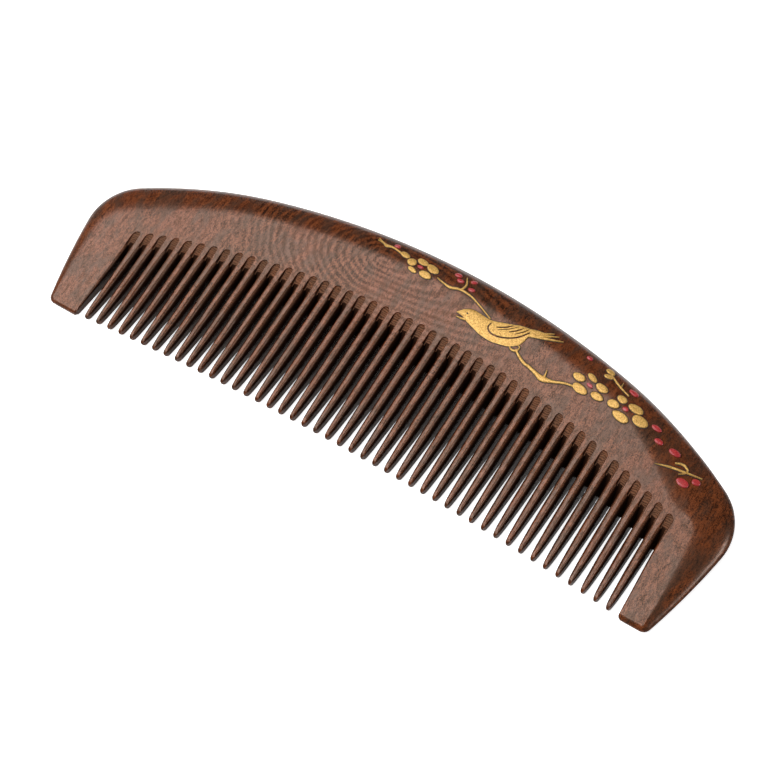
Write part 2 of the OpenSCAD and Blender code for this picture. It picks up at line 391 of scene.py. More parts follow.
# The shallow run-out above a kerf, with a round top and a flat floor that rises to the face.
def gapRunOut(name, top, length, front):
    slope = math.tan(math.radians(slotShape["rampSlope"]))
    topShare, roundShare = cutterShape["topWidth"]
    rings = []
    for down in (*cutterShape["runOutRings"], length):
        y = top - down
        half = halfThickness(y)
        share = min(max(down / cutterShape["runOutRound"], 0), 1)
        narrow = topShare + roundShare * math.sqrt(1 - (1 - share) ** 2)
        lip = cutterShape["lip"] * min(max(down, 0) / cutterShape["lipReach"], 1)
        depth = down * slope + lip - cutterShape["floorLift"]
        face, floor = cutterShape["runOutHalf"] * narrow, cutterShape["floorHalf"] * narrow
        side = [(face * wide, half + over) for wide, over in cutterShape["aboveFace"]]
        side += [(face * wide, half - depth * deep) for wide, deep in cutterShape["wall"]]
        side += [(floor * wide, half - depth * deep) for wide, deep in cutterShape["floor"]]
        ring = [(x, y, z) for x, z in side] + [(-x, y, z) for x, z in reversed(side)]
        rings.append([(x, y, z if front else -z) for x, y, z in ring])
    return loft(name, rings)


# Moves a copied cutter to its place: its top follows the arch of the roots and its foot that of the tips.
def placeGap(gap, x, tip, mirrored=False):
    for vertex in gap.data.vertices:
        at = vertex.co
        if mirrored:
            at.x = -at.x
        at.x += x
        if at.y > slotShape["taperHeight"] + cutterShape["archStart"]:
            shift = -archDrop(slotShape["rootRadius"], at.x)
        elif at.y > tip - cutterShape["tipMargin"]:
            shift = slotShape["tipHeight"] - tip - archDrop(tipArch, at.x)
        else:
            shift = 0
        at.z *= halfThickness(at.y + shift) / halfThickness(at.y)
        at.y += shift
        at.x += slotShape["rowShift"]
    if mirrored:
        pick(gap)
        bpy.ops.object.mode_set(mode="EDIT")
        bpy.ops.mesh.select_all(action="SELECT")
        bpy.ops.mesh.flip_normals()
        bpy.ops.object.mode_set(mode="OBJECT")
    return gap


# A bar with a hollowed face, which leaves the tips of the teeth round towards the front or the back.
def tipBar(name, front):
    rings = []
    length = tipShape["length"]
    for number in range(tipShape["steps"] + 1):
        x = rowHalf * (number / (tipShape["steps"] / 2) - 1) * tipShape["rowShare"]
        tip = slotShape["tipHeight"] - archDrop(tipArch, x)
        half = halfThickness(tip + length)
        below, outside = tip - tipShape["below"], half + tipShape["outside"]
        ring = [(below, 0), (tip - tipShape["edge"], 0)]
        for degrees in tipShape["angles"]:
            turn = math.radians(degrees)
            ring.append((tip + length * (1 - math.cos(turn)), half * math.sin(turn)))
        ring += [(tip + length, half + tipShape["over"]), (tip + length, outside), (below, outside)]
        rings.append([(x + slotShape["rowShift"], y, z if front else -z) for y, z in ring])
    return loft(name, rings)


comb = makeBlank()
blank = copyOf(comb, "blank")
print("blank:", len(comb.data.polygons), "faces")

endX = slotShape["teeth"] / 2 * slotShape["pitch"]
endTip = slotShape["tipHeight"] - archDrop(tipArch, endX)
innerKerf = gapKerf("innerKerf", slotShape["tipHeight"], False)
endKerf = gapKerf("endKerf", endTip, True)
frontLength = slotShape["rampLength"] + cutterShape["frontOverlap"]
runOut = gapRunOut("runOut", slotShape["rootHeight"], frontLength, True)
backRunOut = gapRunOut("backRunOut", slotShape["backRootHeight"], cutterShape["backLength"], False)
places = [number * slotShape["pitch"] - endX for number in range(slotShape["teeth"] + 1)]
kerfs = [placeGap(copyOf(endKerf, "kerf"), places[0], endTip)]
kerfs += [placeGap(copyOf(innerKerf, "kerf"), x, slotShape["tipHeight"]) for x in places[1:-1]]
kerfs.append(placeGap(copyOf(endKerf, "kerf"), places[-1], endTip, mirrored=True))
runOuts = [placeGap(copyOf(template, "runOut"), x, endTip)
           for template in (runOut, backRunOut) for x in places]
# Neighbouring kerfs meet below the tips, so every second kerf is cut at once.
for cutters in (kerfs[0::2], kerfs[1::2], runOuts, [tipBar("tipBar", True), tipBar("tipBar", False)]):
    combine(comb, joined(cutters, "cutters"), "DIFFERENCE", "EXACT")
comb = dropCrumbs(comb)
for template in (innerKerf, endKerf, runOut, backRunOut):
    bpy.data.objects.remove(template, do_unlink=True)
print("comb cut:", len(comb.data.polygons), "faces")


def newGroup(name, inputs, outputs):
    tree = bpy.data.node_groups.new(name, "ShaderNodeTree")
    for label, kind in inputs:
        tree.interface.new_socket(name=label, in_out="INPUT", socket_type=kind)
    for label, kind in outputs:
        tree.interface.new_socket(name=label, in_out="OUTPUT", socket_type=kind)
    return tree, tree.nodes.new("NodeGroupInput"), tree.nodes.new("NodeGroupOutput")


def noise(tree, where, scale, detail, roughness):
    node = tree.nodes.new("ShaderNodeTexNoise")
    node.inputs["Scale"].default_value = scale
    node.inputs["Detail"].default_value = detail
    node.inputs["Roughness"].default_value = roughness
    tree.links.new(where, node.inputs["Vector"])
    return node.outputs["Fac"]


def stretched(tree, where, scale, location=(0, 0, 0)):
    node = tree.nodes.new("ShaderNodeMapping")
    node.inputs["Scale"].default_value = scale
    node.inputs["Location"].default_value = location
    tree.links.new(where, node.inputs["Vector"])
    return node.outputs["Vector"]


def spread(tree, value, low, high, newLow=0.0, newHigh=1.0):
    node = tree.nodes.new("ShaderNodeMapRange")
    node.inputs["From Min"].default_value = low
    node.inputs["From Max"].default_value = high
    node.inputs["To Min"].default_value = newLow
    node.inputs["To Max"].default_value = newHigh
    tree.links.new(value, node.inputs["Value"])
    return node.outputs["Result"]


def reckon(tree, operation, first, second):
    node = tree.nodes.new("ShaderNodeMath")
    node.operation = operation
    for socket, value in zip(node.inputs, (first, second)):
        if isinstance(value, (int, float)):
            socket.default_value = value
        else:
            tree.links.new(value, socket)
    return node.outputs["Value"]


def blendColour(tree, share, first, second):
    node = tree.nodes.new("ShaderNodeMix")
    node.data_type = "RGBA"
    for socket, value in ((node.inputs[0], share), (node.inputs[6], first), (node.inputs[7], second)):
        if isinstance(value, (int, float)):
            socket.default_value = value
        elif isinstance(value, tuple):
            socket.default_value = (*value, 1)
        else:
            tree.links.new(value, socket)
    return node.outputs[2]


# Layers are (stretch, shift, detail, roughness) of a noise in millimetres. Ranges are (from low, from high),
# with (to low, to high) after them where that isn't 0 to 1.
woodLook = {
    "heartShift": (14, -17.2, 0),      # brings the heart of the growth rings to the middle
    "ovalRight": 0.24,                 # the smaller, the longer the ovals are to the right
    "ovalLeft": 0.46,                  # makes them this much shorter to the left
    "ringScale": 0.25,
    "ringWander": 7.5,
    "ringDetail": 3,
    "ringDetailScale": 0.33,
    "ringRange": (0, 1, -0.062, 0.028),
    "rightFade": (24, 42, 1, 0.15),
    "leftFade": (-46, -26, 0.15, 1),
    "teethFade": (-20, -9),
    "streak": ((1.7, 0.42, 1.7), (0, 0, 0), 3, 0.6),
    "fine": ((4.4, 2.9, 4.4), (5, 0, 0), 3, 0.8),
    "patches": ((0.35, 0.16, 0.35), (0, 9, 0), 3, 0.6),
    "broad": ((0.09, 0.05, 0.09), (3, 0, 0), 2, 0.5),
    "pores": ((6.5, 1.3, 6.5), (7, 3, 1), 2, 0.5),
    "streakShare": 0.36,
    "fineShare": 0.64,
    "shadeRange": (0.41, 0.58),
    "darkShade": (0.008, 0.0022, 0.0009),
    "lightShade": (0.21, 0.054, 0.0145),
    "broadRange": (0.38, 0.66, 0, 0.40),
    "warmShade": (0.150, 0.034, 0.009),
    "patchRange": (0.45, 0.62, 0, 0.6),
    "dullShade": (0.040, 0.024, 0.016),
    "poreRange": (0.57, 0.66),
    "poreShare": 0.7,
    "poreShade": (0.008, 0.003, 0.001),
    "glossRange": (0.41, 0.59, 0.30, 1.15),
    "poreGloss": (0, 1, 1, 0.6),
    "poreDepth": 0.3,
    "coatShare": 0.65,
    "coatRoughness": 0.23,
    "reflection": 0.34,
    "tint": (1, 0.55, 0.32, 1),
    "roughness": 0.23,
    "bumpHeight": 0.00004,
    "bumpStrength": 0.6,
    # painted shade in the kerfs between the teeth: the range that turns its share into how much wood colour
    # stays, and the dark colour painted there
    "kerfShadowRange": (0.02, 0.52, 1, 0.06),
    "kerfShadowColour": (0.018, 0.008, 0.005),
    # the sawn floors of the run-outs
    "markScale": 700,
    "markWander": 6.5,
    "markDetailScale": 1.6,
    "markRange": (0.0, 0.6, 0.12, 1),
    "markDark": (0.012, 0.005, 0.003),
    "markLight": (0.185, 0.092, 0.056),
    "markShare": 0.5,
    "sawnReflection": 0.25,
    "sawnRoughness": 0.6,
}


# The growth rings are ovals round a heart left of the comb's middle, drawn out to the right, and fade on the
# teeth. Position is in millimetres on the comb as it lies.
def woodFigure():
    tree, enter, leave = newGroup("woodFigure", [("Position", "NodeSocketVector")],
                                  [("Colour", "NodeSocketColor"), ("Gloss", "NodeSocketFloat"),
                                   ("Height", "NodeSocketFloat")])
    where = enter.outputs["Position"]

    def layer(name):
        stretch, shift, detail, roughness = woodLook[name]
        return noise(tree, stretched(tree, where, stretch, shift), 1.0, detail, roughness)

    centred = tree.nodes.new("ShaderNodeSeparateXYZ")
    tree.links.new(stretched(tree, where, (1, 1, 1), woodLook["heartShift"]), centred.inputs[0])
    across, up = centred.outputs["X"], centred.outputs["Y"]
    leftwards = reckon(tree, "MULTIPLY", reckon(tree, "MINIMUM", across, 0.0), woodLook["ovalLeft"])
    drawnOut = reckon(tree, "ADD", reckon(tree, "MULTIPLY", across, woodLook["ovalRight"]), leftwards)
    heart = tree.nodes.new("ShaderNodeCombineXYZ")
    tree.links.new(drawnOut, heart.inputs[0])
    tree.links.new(up, heart.inputs[1])
    rings = tree.nodes.new("ShaderNodeTexWave")
    rings.wave_type = "RINGS"
    rings.rings_direction = "Z"
    rings.inputs["Scale"].default_value = woodLook["ringScale"]
    rings.inputs["Distortion"].default_value = woodLook["ringWander"]
    rings.inputs["Detail"].default_value = woodLook["ringDetail"]
    rings.inputs["Detail Scale"].default_value = woodLook["ringDetailScale"]
    tree.links.new(heart.outputs["Vector"], rings.inputs["Vector"])
    sideways = reckon(tree, "MULTIPLY", spread(tree, across, *woodLook["rightFade"]),
                      spread(tree, across, *woodLook["leftFade"]))
    fade = reckon(tree, "MULTIPLY", spread(tree, up, *woodLook["teethFade"]), sideways)
    ringShare = reckon(tree, "MULTIPLY", spread(tree, rings.outputs["Fac"], *woodLook["ringRange"]), fade)
    pores = spread(tree, layer("pores"), *woodLook["poreRange"])
    figure = reckon(tree, "ADD", reckon(tree, "MULTIPLY", layer("streak"), woodLook["streakShare"]),
                    reckon(tree, "MULTIPLY", layer("fine"), woodLook["fineShare"]))
    figure = reckon(tree, "ADD", figure, ringShare)
    shade = blendColour(tree, spread(tree, figure, *woodLook["shadeRange"]),
                        woodLook["darkShade"], woodLook["lightShade"])
    warm = spread(tree, layer("broad"), *woodLook["broadRange"])
    shade = blendColour(tree, warm, shade, woodLook["warmShade"])
    dull = spread(tree, layer("patches"), *woodLook["patchRange"])
    shade = blendColour(tree, dull, shade, woodLook["dullShade"])
    dark = reckon(tree, "MULTIPLY", pores, woodLook["poreShare"])
    shade = blendColour(tree, dark, shade, woodLook["poreShade"])
    gloss = reckon(tree, "MULTIPLY", spread(tree, figure, *woodLook["glossRange"]),
                   spread(tree, pores, *woodLook["poreGloss"]))
    height = reckon(tree, "SUBTRACT", figure, reckon(tree, "MULTIPLY", pores, woodLook["poreDepth"]))
    tree.links.new(shade, leave.inputs["Colour"])
    tree.links.new(gloss, leave.inputs["Gloss"])
    tree.links.new(height, leave.inputs["Height"])
    return tree


def startMaterial(name):
    material = bpy.data.materials.new(name)
    material.use_nodes = True
    return material, material.node_tree, material.node_tree.nodes["Principled BSDF"]


# Places a group in a material, on the piece's own coordinates in millimetres.
def placeGroup(tree, grouped):
    where = tree.nodes.new("ShaderNodeTexCoord").outputs["Object"]
    group = tree.nodes.new("ShaderNodeGroup")
    group.node_tree = grouped
    tree.links.new(stretched(tree, where, (1000, 1000, 1000)), group.inputs["Position"])
    return where, group.outputs


def bump(tree, shader, height, distance, strength):
    node = tree.nodes.new("ShaderNodeBump")
    node.inputs["Strength"].default_value = strength
    node.inputs["Distance"].default_value = distance
    tree.links.new(height, node.inputs["Height"])
    tree.links.new(node.outputs["Normal"], shader.inputs["Normal"])


def polishedWood(name, figure):
    material, tree, shader = startMaterial(name)
    wood = placeGroup(tree, figure)[1]
    # painted shade: deep in the kerfs between the teeth the colour turns dark and the coat's gloss fades
    paintedKerfShadow = tree.nodes.new("ShaderNodeAttribute")
    paintedKerfShadow.attribute_name = "paintedKerfShadow"
    outside = spread(tree, paintedKerfShadow.outputs["Fac"], *woodLook["kerfShadowRange"])
    colour = blendColour(tree, outside, woodLook["kerfShadowColour"], wood["Colour"])
    gloss = reckon(tree, "MULTIPLY", wood["Gloss"], outside)
    tree.links.new(colour, shader.inputs["Base Color"])
    tree.links.new(reckon(tree, "MULTIPLY", gloss, woodLook["coatShare"]), shader.inputs["Coat Weight"])
    bump(tree, shader, wood["Height"], woodLook["bumpHeight"], woodLook["bumpStrength"])
    shader.inputs["Coat Roughness"].default_value = woodLook["coatRoughness"]
    shader.inputs["Specular IOR Level"].default_value = woodLook["reflection"]
    shader.inputs["Specular Tint"].default_value = woodLook["tint"]
    shader.inputs["Roughness"].default_value = woodLook["roughness"]
    return material


def sawnWood(name, figure):
    material, tree, shader = startMaterial(name)
    where, wood = placeGroup(tree, figure)
    marks = tree.nodes.new("ShaderNodeTexWave")
    marks.bands_direction = "Y"
    marks.inputs["Scale"].default_value = woodLook["markScale"]
    marks.inputs["Distortion"].default_value = woodLook["markWander"]
    marks.inputs["Detail Scale"].default_value = woodLook["markDetailScale"]
    tree.links.new(where, marks.inputs["Vector"])
    lines = spread(tree, marks.outputs["Fac"], *woodLook["markRange"])
    pale = blendColour(tree, woodLook["markShare"], wood["Colour"], woodLook["markLight"])
    tree.links.new(blendColour(tree, lines, woodLook["markDark"], pale), shader.inputs["Base Color"])
    bump(tree, shader, marks.outputs["Fac"], woodLook["bumpHeight"], woodLook["bumpStrength"])
    shader.inputs["Specular IOR Level"].default_value = woodLook["sawnReflection"]
    shader.inputs["Specular Tint"].default_value = woodLook["tint"]
    shader.inputs["Roughness"].default_value = woodLook["sawnRoughness"]
    return material


lacquerLook = {
    "mottle": (3.6, 4, 0.7),           # scale, detail, roughness
    "mottleRange": (0.35, 0.65),
    "grain": (5.5, 2, 0.6),
    "grainRange": (0.3, 0.7),
    "glossSpread": (-0.06, 0.08),      # round a lacquer's roughness
    "speckle": (1.0, 2, 0.7),
    "speckleStretch": (2.3, 3.4, 2.3),
    "speckleShift": (2, 5, 0),
    "speckleRange": (0.60, 0.68, 0, 0.75),
    "bumpHeight": 0.00009,
    "bumpStrength": 0.6,
    "coatRoughness": 0.12,
    # colours of the specks, the dark and the light mottling, then roughness, metallic and clear coat
    "gold": ((0.20, 0.065, 0.008), (0.36, 0.17, 0.022), (0.88, 0.55, 0.16), 0.46, 0.35, 0.0),
    "umber": ((0.03, 0.01, 0.003), (0.010, 0.004, 0.002), (0.02, 0.007, 0.004), 0.6, 0.0, 0.0),
    "red": ((0.22, 0.006, 0.012), (0.32, 0.012, 0.016), (0.52, 0.045, 0.045), 0.3, 0.0, 0.5),
}


# A stippled, slightly uneven surface. Position is in millimetres.
def lacquerGrain():
    tree, enter, leave = newGroup("lacquerGrain", [("Position", "NodeSocketVector")],
                                  [("Mottle", "NodeSocketFloat"), ("Speckle", "NodeSocketFloat"),
                                   ("Height", "NodeSocketFloat")])
    where = enter.outputs["Position"]
    mottle = noise(tree, where, *lacquerLook["mottle"])
    specks = stretched(tree, where, lacquerLook["speckleStretch"], lacquerLook["speckleShift"])
    speckle = noise(tree, specks, *lacquerLook["speckle"])
    tree.links.new(spread(tree, mottle, *lacquerLook["mottleRange"]), leave.inputs["Mottle"])
    tree.links.new(spread(tree, speckle, *lacquerLook["speckleRange"]), leave.inputs["Speckle"])
    tree.links.new(noise(tree, where, *lacquerLook["grain"]), leave.inputs["Height"])
    return tree


def lacquerMaterial(name, grain, spots, dark, light, roughness, metallic, coat):
    material, tree, shader = startMaterial(name)
    surface = placeGroup(tree, grain)[1]
    mottled = blendColour(tree, surface["Mottle"], dark, light)
    uneven = [roughness + change for change in lacquerLook["glossSpread"]]
    tree.links.new(blendColour(tree, surface["Speckle"], mottled, spots), shader.inputs["Base Color"])
    tree.links.new(spread(tree, surface["Height"], *lacquerLook["grainRange"], *uneven),
                   shader.inputs["Roughness"])
    bump(tree, shader, surface["Height"], lacquerLook["bumpHeight"], lacquerLook["bumpStrength"])
    shader.inputs["Metallic"].default_value = metallic
    shader.inputs["Coat Weight"].default_value = coat
    shader.inputs["Coat Roughness"].default_value = lacquerLook["coatRoughness"]
    return material


figure = woodFigure()
wood = polishedWood("polishedWood", figure)
sawn = sawnWood("sawnWood", figure)
grain = lacquerGrain()
gold = lacquerMaterial("goldLacquer", grain, *lacquerLook["gold"])
umber = lacquerMaterial("umberLacquer", grain, *lacquerLook["umber"])
red = lacquerMaterial("redLacquer", grain, *lacquerLook["red"])
print("materials ready")


def dress(piece, *coats):
    for coat in coats:
        piece.data.materials.append(coat)


# where the saw's marks and the painted shade in the kerfs reach, in millimetres
rowLook = {
    "sawnReach": 11.0,         # down from the roots
    "sawnOver": 0.05,          # and up
    "sawnDepth": 0.1,          # below the face
    "sawnFacing": 0.75,
    "margin": 0.9,             # past the row on either side
    "darkestShadowDepth": 1.0,          # depth at which the painted kerf shade is darkest
    "shadowTipStart": 0.2,           # above the tips the painted shade grows from here
    "shadowTipReach": 2.5,
    "shadowTipShare": 0.3,
}


def rootTop(x):
    return slotShape["rootHeight"] - archDrop(slotShape["rootRadius"], min(abs(x), rowHalf))


# The run-outs above the kerfs show the saw's marks, and the kerfs get painted shade, darker deeper in.
def markRow():
    comb.data.materials.clear()
    dress(comb, wood, sawn)
    for face in comb.data.polygons:
        at = face.center
        depth = halfThickness(at.y) - abs(at.z)
        top = rootTop(at.x)
        beside = abs(at.x - slotShape["rowShift"]) < rowHalf
        inRow = beside and top - rowLook["sawnReach"] < at.y < top + rowLook["sawnOver"]
        facing = depth > rowLook["sawnDepth"] and abs(face.normal.z) > rowLook["sawnFacing"]
        face.material_index = 1 if inRow and facing else 0
    # how much painted shade each vertex gets, more deeper in a kerf and less near the tips
    paintedKerfShadow = comb.data.attributes.new("paintedKerfShadow", "FLOAT", "POINT")
    for vertex in comb.data.vertices:
        at = vertex.co
        x = at.x - slotShape["rowShift"]
        if abs(x) > rowHalf + rowLook["margin"] or at.y > rootTop(x):
            continue
        above = at.y - slotShape["tipHeight"] + archDrop(tipArch, min(abs(x), rowHalf))
        depth = min(max((halfThickness(at.y) - abs(at.z)) / rowLook["darkestShadowDepth"], 0), 1)
        grown = min(max((above - rowLook["shadowTipStart"]) / rowLook["shadowTipReach"], rowLook["shadowTipShare"]), 1)
        paintedKerfShadow.data[vertex.index].value = depth * grown


markRow()


# Lacquer is modelled flat, with its height as z, and then laid on the uncut comb along its surface.
lacquer = {
    "sunk": -0.04,
    "border": 0.18,            # dark edge round the gold
    "borderHeight": 0.07,
    "darkOver": 0.005,         # faces up to this far above the border are dark too
    "goldHeight": 0.3,
    "budHeight": 0.34,
    "eyeHeight": 0.33,
    "featherShare": 0.95,      # of the gold's height
    "engraverHeight": 0.6,
    # an oval's side by how far it grows and the share of the height, then by shares of its half width
    "ovalSide": ((0, 0.6), (-0.06, 0.84), (-0.16, 0.95)),
    "ovalTop": ((-0.42, 1.0), (-0.75, 1.02)),
    "ovalBorder": (0.02, 0.03, 0.02),      # the border's eased edge: down, in, and its distance from the gold
    "ovalSteps": 28,
    "ovalWaves": (0.035, 0.025),       # makes its outline uneven, in two waves and in three
    # a band's side by shares of its half width and of the height
    "bandSide": ((1, 0.5), (0.86, 0.75), (0.55, 0.93), (0.2, 1.0)),
    "bandBorder": (0.01, 0.02),            # down, and its distance from the gold
    "above": 20.0,             # from where the lacquer is laid down on the comb
}

# points (x, y, width) from end to end
twigs = (
    ((-18, 48.4, 0.12), (-16.2, 47.8, 0.3), (-15.3, 47.5, 0.75), (-13.8, 47.8, 0.4), (-11.2, 47.35, 0.35)),
    ((-17.9, 47.9, 0.1), (-16.6, 47.75, 0.2), (-15.6, 47.55, 0.3)),
    ((-0.9, 45.9, 0.2), (1, 45.5, 0.35), (2.8, 45.3, 0.6), (5, 45.9, 0.5), (8, 45.6, 0.4), (11, 44.5, 0.32),
     (14.4, 43.05, 0.3)),
    ((5.2, 45.9, 0.5), (5.5, 47.5, 0.45), (4.5, 49.3, 0.2)),
    ((22.9, 39.55, 0.45), (24.5, 38.45, 0.6), (26.1, 37.7, 0.6), (27.6, 37.45, 0.7), (29.5, 36.9, 0.8),
     (31.2, 36.5, 1.3), (33.5, 36.95, 0.65), (36.1, 37.9, 0.5), (37.9, 38.1, 0.4)),
    ((31.5, 36.6, 0.7), (31.4, 37.6, 0.4), (31.2, 38.6, 0.18)),
    ((43.3, 44.5, 0.25), (46, 43, 0.38), (48.9, 41.9, 0.2)),
    ((46.5, 42.8, 0.3), (46.3, 44.1, 0.12)),
    ((61, 31.5, 0.12), (64, 32.4, 0.45), (67, 33, 0.45), (70.6, 33.7, 0.2)),
    ((64.4, 33.7, 0.35), (65.9, 34.3, 0.5), (67.2, 33.8, 0.4), (67.4, 33, 0.35)),
    ((66.1, 31.9, 0.12), (66.9, 32.5, 0.3), (67.3, 33, 0.3)),
)
# ovals (x, y, half length, half width, turn)
twigBuds = ((-10.3, 47.45, 1.15, 0.65, -6), (42.7, 45.1, 1.1, 0.55, -12), (43.1, 43.8, 1.1, 0.5, 8))
petals = (
    (-8, 46.6, 1.15, 0.85, 0), (-5.9, 47.8, 1.35, 0.72, -8), (-3, 47.3, 1.6, 0.88, -12),
    (-3.7, 45.25, 1.5, 0.82, 0), (-6.9, 45, 1.2, 0.5, -14),
    (37.9, 40.5, 1.45, 0.85, -6), (40.4, 41.7, 1.3, 0.62, -20), (43.3, 40.6, 1.5, 0.82, -14),
    (43.3, 38.5, 1.5, 0.78, -8), (39.3, 38.3, 1.75, 0.98, -10),
    (48.2, 40.5, 1.2, 0.75, -10), (47.1, 38.7, 1.35, 0.9, 4), (51.7, 40, 1.65, 0.9, -6),
    (53.8, 38, 1.85, 1.12, -4), (49.8, 36.9, 2, 0.92, -12),
)
buds = (
    (-13.2, 48.6, 0.75, 0.45, 10), (2.6, 48.9, 0.85, 0.5, 8), (3.8, 47.8, 0.9, 0.45, 4),
    (6.5, 49.1, 0.7, 0.45, 12), (7.2, 47, 0.8, 0.45, 6), (37.4, 45.6, 0.75, 0.42, -6),
    (49.4, 43.2, 1.2, 0.52, -12),
    (57.4, 38.5, 1.15, 0.55, -8), (59.3, 36.1, 1, 0.58, -4), (63.2, 35.7, 1.3, 0.7, -8),
    (67.8, 30.7, 1.45, 0.82, -6), (70, 32.3, 0.9, 0.7, 0),
    (-5.6, 46.4, 0.75, 0.36, 0), (40.8, 39.9, 0.8, 0.4, -12), (49.9, 38.9, 0.7, 0.48, -8),
)
# the bird's body as (x, lowest y, highest y)
birdBody = (
    (7.15, 40.97, 41.08), (7.6, 40.93, 41.72), (8.2, 40.86, 42.28), (8.9, 40.75, 42.75), (9.5, 40.45, 43),
    (10.2, 40.12, 43.14), (11.2, 39.78, 43.12), (12.4, 39.4, 43), (13.6, 39.02, 42.86), (14.8, 38.76, 42.86),
    (16, 38.64, 43.12), (17.2, 38.6, 43.5), (18.4, 38.76, 43.86), (19.6, 39, 44.26), (20.6, 39.2, 44.62),
    (21.5, 39.62, 44.86), (22.3, 40.12, 44.98), (23, 40.75, 45.06), (23.5, 41.8, 45.1), (23.8, 43.25, 45.16),
    (24.4, 43.6, 45.3),
)
feathers = (
    ((23.4, 44.7, 0.9), (25, 45.3, 0.7), (26.4, 45.65, 0.3), (27, 46.05, 0.1)),
    ((23.6, 44.5, 0.8), (25.4, 45, 0.62), (27, 46.05, 0.4), (28.1, 46.75, 0.12)),
    ((23.8, 44.2, 0.8), (25.7, 44.6, 0.62), (27.4, 45.55, 0.48), (29.3, 46.6, 0.12)),
    ((23.8, 43.8, 0.9), (25.8, 44.3, 0.62), (28, 45, 0.5), (30.7, 46, 0.12)),
    ((9.7, 40.45, 0.55), (8.7, 40.2, 0.42), (7.5, 40.15, 0.14)),
    ((21.4, 39.5, 0.3), (21.9, 39.15, 0.4), (22.7, 39.15, 0.5), (23.3, 39.6, 0.4), (23.4, 40.3, 0.3),
     (22.9, 40.6, 0.25)),
)
engraved = (
    ((15.2, 42.3, 0.27), (15, 41.3, 0.35), (15.5, 40.55, 0.38), (16.5, 40.15, 0.41), (17.9, 40.2, 0.41),
     (19.7, 40.75, 0.38), (21.2, 41.55, 0.38), (22.5, 42.7, 0.38), (23.3, 43.8, 0.35), (24.1, 44.9, 0.27)),
    ((16.6, 41.95, 0.16), (17.5, 42.35, 0.32), (18.6, 43, 0.35), (19.6, 43.95, 0.19)),
    ((17.1, 41.6, 0.11), (19.2, 42.8, 0.22), (20.8, 44.3, 0.14)),
    ((19.6, 42.25, 0.27), (21, 43.35, 0.32), (21.9, 44.45, 0.16)),
    ((20.9, 42.35, 0.14), (22.2, 43.6, 0.27), (23.1, 44.8, 0.14)),
    ((23.6, 44.4, 0.14), (24.4, 44.75, 0.27), (25.3, 45.2, 0.16)),
)
birdEye = (9.41, 41.78, 0.36, 0.31, 0)


# A smooth line through the points, each stretch in this many steps.
def smoothLine(points, steps=5):
    line = []
    for number in range(len(points) - 1):
        before = Vector(points[max(number - 1, 0)])
        start, end = Vector(points[number]), Vector(points[number + 1])
        after = Vector(points[min(number + 2, len(points) - 1)])
        squared = 2 * before - 5 * start + 4 * end - after
        cubed = 3 * start - before - 3 * end + after
        for step in range(steps):
            t = step / steps
            line.append(start + t * ((end - before) / 2 + t * (squared / 2 + t * cubed / 2)))
    return line + [Vector(points[-1])]


# Faces that stay below this height of a flat lacquer piece get its second material, the dark one.
def darken(piece, below=math.inf):
    for face in piece.data.polygons:
        if max(piece.data.vertices[number].co.z for number in face.vertices) < below:
            face.material_index = 1


def drape(piece):
    for vertex in piece.data.vertices:
        at = vertex.co
        hit, normal = blank.ray_cast(Vector((at.x, at.y, lacquer["above"])), Vector((0, 0, -1)))[1:3]
        vertex.co = hit + normal * at.z
    pick(piece)
    bpy.ops.object.mode_set(mode="EDIT")
    bpy.ops.mesh.select_all(action="SELECT")
    bpy.ops.mesh.normals_make_consistent(inside=False)
    bpy.ops.object.mode_set(mode="OBJECT")
    return piece


# dresses a flat piece, darkens its border and lays it on the comb
def finishLacquer(piece, coats, border):
    dress(piece, *coats)
    if border:
        darken(piece, lacquer["borderHeight"] + lacquer["darkOver"])
    return drape(piece)


def oval(name, place, height, border, coats):
    x, y, halfLength, halfWidth, turn = place
    turn = math.radians(turn)
    profile = [(grow, share * height) for grow, share in lacquer["ovalSide"]]
    profile += [(share * halfWidth, rise * height) for share, rise in lacquer["ovalTop"]]
    if border:
        edge, low = lacquer["border"], lacquer["borderHeight"]
        down, inwards, apart = lacquer["ovalBorder"]
        profile = [(edge, lacquer["sunk"]), (edge, low - down), (edge - inwards, low), (apart, low)] + profile
    else:
        profile = [(0, lacquer["sunk"])] + profile
    steps = lacquer["ovalSteps"]
    two, three = lacquer["ovalWaves"]
    rings = []
    for grow, z in profile:
        ring = []
        for number in range(steps):
            angle = 2 * math.pi * number / steps
            wave = 1 + two * math.sin(2 * angle + x) + three * math.sin(3 * angle + 2 * y)
            along = (halfLength + grow) * wave * math.cos(angle)
            across = (halfWidth + grow) * wave * math.sin(angle)
            ring.append((x + along * math.cos(turn) - across * math.sin(turn),
                         y + along * math.sin(turn) + across * math.cos(turn), z))
        rings.append(ring)
    return finishLacquer(loft(name, rings), coats, border)


# A band with a rounded back, whose section stands across the line at each of its points.
def strip(name, sections, height, border):
    edge, low = lacquer["border"], lacquer["borderHeight"]
    down, apart = lacquer["bandBorder"]
    rings = []
    for start, end in sections:
        middle, reach = (start + end) / 2, (end - start) / 2
        out = reach.normalized() if reach.length > 1e-9 else Vector((0, 1))
        if border:
            side = [(reach + out * edge, lacquer["sunk"]), (reach + out * edge, low - down),
                    (reach + out * apart, low)]
        else:
            side = [(reach, lacquer["sunk"])]
        side += [(reach * share, rise * height) for share, rise in lacquer["bandSide"]]
        rings.append([(*(middle + way), z) for way, z in side]
                     + [(*(middle - way), z) for way, z in reversed(side)])
    return finishLacquer(loft(name, rings), (gold, umber), border)


def stroke(name, points, height, border):
    line = smoothLine(points)
    sections = []
    for number, point in enumerate(line):
        way = line[min(number + 1, len(line) - 1)] - line[max(number - 1, 0)]
        across = Vector((-way.y, way.x)).normalized() * point.z / 2
        at = Vector((point.x, point.y))
        sections.append((at - across, at + across))
    return strip(name, sections, height, border)


